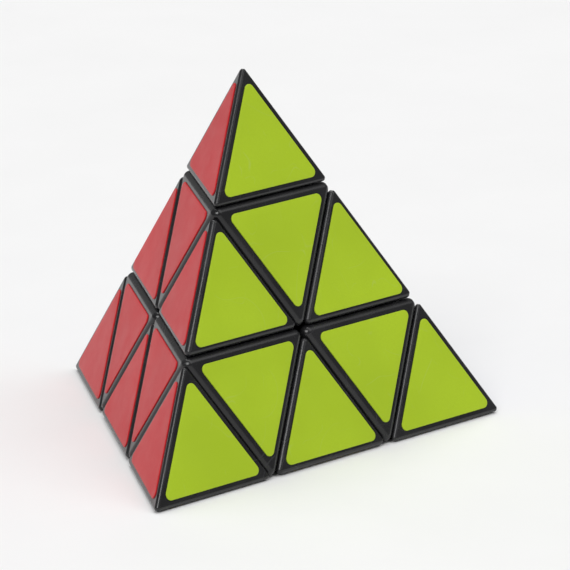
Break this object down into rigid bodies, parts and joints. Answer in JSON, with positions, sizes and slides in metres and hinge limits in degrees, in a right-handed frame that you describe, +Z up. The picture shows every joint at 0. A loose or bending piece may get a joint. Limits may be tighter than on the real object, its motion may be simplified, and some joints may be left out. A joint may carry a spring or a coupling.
{
  "type": "pyramid twisty puzzle",
  "caption": "Four-sided twisty puzzle: tips, axials and edges turn in layers round a sprung ball core, each face in its own colour of triangles.",
  "frame": {"origin": "centre of the ball core, where the four turning axes meet; it is also the object's centroid", "axes": "+Z up through the top tip, with the yellow face down as the base; -Y towards the green front face, so the red face is towards -X and the blue face towards +X"},
  "size_m": [0.098, 0.0849, 0.0803],
  "materials": {
    "black_plastic": "moulded gloss black ABS with lightly rounded edges",
    "inner_plastic": "moulded satin dark ABS",
    "green_vinyl": "thin lime green vinyl sticker",
    "red_vinyl": "thin red vinyl sticker",
    "blue_vinyl": "thin blue vinyl sticker",
    "yellow_vinyl": "thin yellow vinyl sticker",
    "screw_steel": "zinc-plated steel",
    "spring_steel": "bright spring wire",
    "washer_steel": "plain steel"
  },
  "bodies": {
    "core": {"core": "inner_plastic", "tension_screws": "screw_steel", "springs": "spring_steel", "washers": "washer_steel"},
    "axial_top": {"axial_top": "black_plastic", "blue_sticker_axial_top": "blue_vinyl", "red_sticker_axial_top": "red_vinyl", "green_sticker_axial_top": "green_vinyl"},
    "axial_left": {"axial_left": "black_plastic", "yellow_sticker_axial_left": "yellow_vinyl", "red_sticker_axial_left": "red_vinyl", "green_sticker_axial_left": "green_vinyl"},
    "axial_right": {"axial_right": "black_plastic", "yellow_sticker_axial_right": "yellow_vinyl", "blue_sticker_axial_right": "blue_vinyl", "green_sticker_axial_right": "green_vinyl"},
    "axial_back": {"axial_back": "black_plastic", "yellow_sticker_axial_back": "yellow_vinyl", "blue_sticker_axial_back": "blue_vinyl", "red_sticker_axial_back": "red_vinyl"},
    "tip_top": {"tip_top": "black_plastic", "blue_sticker_tip_top": "blue_vinyl", "red_sticker_tip_top": "red_vinyl", "green_sticker_tip_top": "green_vinyl"},
    "tip_left": {"tip_left": "black_plastic", "yellow_sticker_tip_left": "yellow_vinyl", "red_sticker_tip_left": "red_vinyl", "green_sticker_tip_left": "green_vinyl"},
    "tip_right": {"tip_right": "black_plastic", "yellow_sticker_tip_right": "yellow_vinyl", "blue_sticker_tip_right": "blue_vinyl", "green_sticker_tip_right": "green_vinyl"},
    "tip_back": {"tip_back": "black_plastic", "yellow_sticker_tip_back": "yellow_vinyl", "blue_sticker_tip_back": "blue_vinyl", "red_sticker_tip_back": "red_vinyl"},
    "edge_top_left": {"edge_cap_top_left": "black_plastic", "edge_foot_top_left": "inner_plastic", "red_sticker_edge_top_left": "red_vinyl", "green_sticker_edge_top_left": "green_vinyl"},
    "edge_top_right": {"edge_cap_top_right": "black_plastic", "edge_foot_top_right": "inner_plastic", "blue_sticker_edge_top_right": "blue_vinyl", "green_sticker_edge_top_right": "green_vinyl"},
    "edge_top_back": {"edge_cap_top_back": "black_plastic", "edge_foot_top_back": "inner_plastic", "blue_sticker_edge_top_back": "blue_vinyl", "red_sticker_edge_top_back": "red_vinyl"},
    "edge_left_right": {"edge_cap_left_right": "black_plastic", "edge_foot_left_right": "inner_plastic", "yellow_sticker_edge_left_right": "yellow_vinyl", "green_sticker_edge_left_right": "green_vinyl"},
    "edge_left_back": {"edge_cap_left_back": "black_plastic", "edge_foot_left_back": "inner_plastic", "yellow_sticker_edge_left_back": "yellow_vinyl", "red_sticker_edge_left_back": "red_vinyl"},
    "edge_right_back": {"edge_cap_right_back": "black_plastic", "edge_foot_right_back": "inner_plastic", "yellow_sticker_edge_right_back": "yellow_vinyl", "blue_sticker_edge_right_back": "blue_vinyl"}
  },
  "joints": [
    {"name": "layer_turn_top", "type": "hinge", "parent": "core", "child": "axial_top", "pos_m": [0, 0, 0], "axis": [0, 0, 1], "range_deg": [-240, 120]},
    {"name": "layer_turn_left", "type": "hinge", "parent": "core", "child": "axial_left", "pos_m": [0, 0, 0], "axis": [-0.8165, -0.4714, -0.3333], "range_deg": [-240, 120]},
    {"name": "layer_turn_right", "type": "hinge", "parent": "core", "child": "axial_right", "pos_m": [0, 0, 0], "axis": [0.8165, -0.4714, -0.3333], "range_deg": [-240, 120]},
    {"name": "layer_turn_back", "type": "hinge", "parent": "core", "child": "axial_back", "pos_m": [0, 0, 0], "axis": [0, 0.9428, -0.3333], "range_deg": [-240, 120]},
    {"name": "tip_turn_top", "type": "hinge", "parent": "axial_top", "child": "tip_top", "pos_m": [0, 0, 0], "axis": [0, 0, 1], "continuous": true},
    {"name": "tip_turn_left", "type": "hinge", "parent": "axial_left", "child": "tip_left", "pos_m": [0, 0, 0], "axis": [-0.8165, -0.4714, -0.3333], "continuous": true},
    {"name": "tip_turn_right", "type": "hinge", "parent": "axial_right", "child": "tip_right", "pos_m": [0, 0, 0], "axis": [0.8165, -0.4714, -0.3333], "continuous": true},
    {"name": "tip_turn_back", "type": "hinge", "parent": "axial_back", "child": "tip_back", "pos_m": [0, 0, 0], "axis": [0, 0.9428, -0.3333], "continuous": true},
    {"name": "edge_turn_top_left", "type": "hinge", "parent": "axial_top", "child": "edge_top_left", "pos_m": [0, 0, 0], "axis": [-0.8165, -0.4714, -0.3333], "range_deg": [-240, 120]},
    {"name": "edge_turn_top_right", "type": "hinge", "parent": "axial_top", "child": "edge_top_right", "pos_m": [0, 0, 0], "axis": [0.8165, -0.4714, -0.3333], "range_deg": [-240, 120]},
    {"name": "edge_turn_top_back", "type": "hinge", "parent": "axial_top", "child": "edge_top_back", "pos_m": [0, 0, 0], "axis": [0, 0.9428, -0.3333], "range_deg": [-240, 120]},
    {"name": "edge_turn_left_right", "type": "hinge", "parent": "axial_left", "child": "edge_left_right", "pos_m": [0, 0, 0], "axis": [0.8165, -0.4714, -0.3333], "range_deg": [-240, 120]},
    {"name": "edge_turn_left_back", "type": "hinge", "parent": "axial_back", "child": "edge_left_back", "pos_m": [0, 0, 0], "axis": [-0.8165, -0.4714, -0.3333], "range_deg": [-240, 120]},
    {"name": "edge_turn_right_back", "type": "hinge", "parent": "axial_right", "child": "edge_right_back", "pos_m": [0, 0, 0], "axis": [0, 0.9428, -0.3333], "range_deg": [-240, 120]}
  ],
  "couplings": [
    {"joint": "edge_turn_top_left", "follows": "layer_turn_left", "ratio": 1},
    {"joint": "edge_turn_top_right", "follows": "layer_turn_right", "ratio": 1},
    {"joint": "edge_turn_top_back", "follows": "layer_turn_back", "ratio": 1},
    {"joint": "edge_turn_left_right", "follows": "layer_turn_right", "ratio": 1},
    {"joint": "edge_turn_left_back", "follows": "layer_turn_left", "ratio": 1},
    {"joint": "edge_turn_right_back", "follows": "layer_turn_back", "ratio": 1}
  ]
}
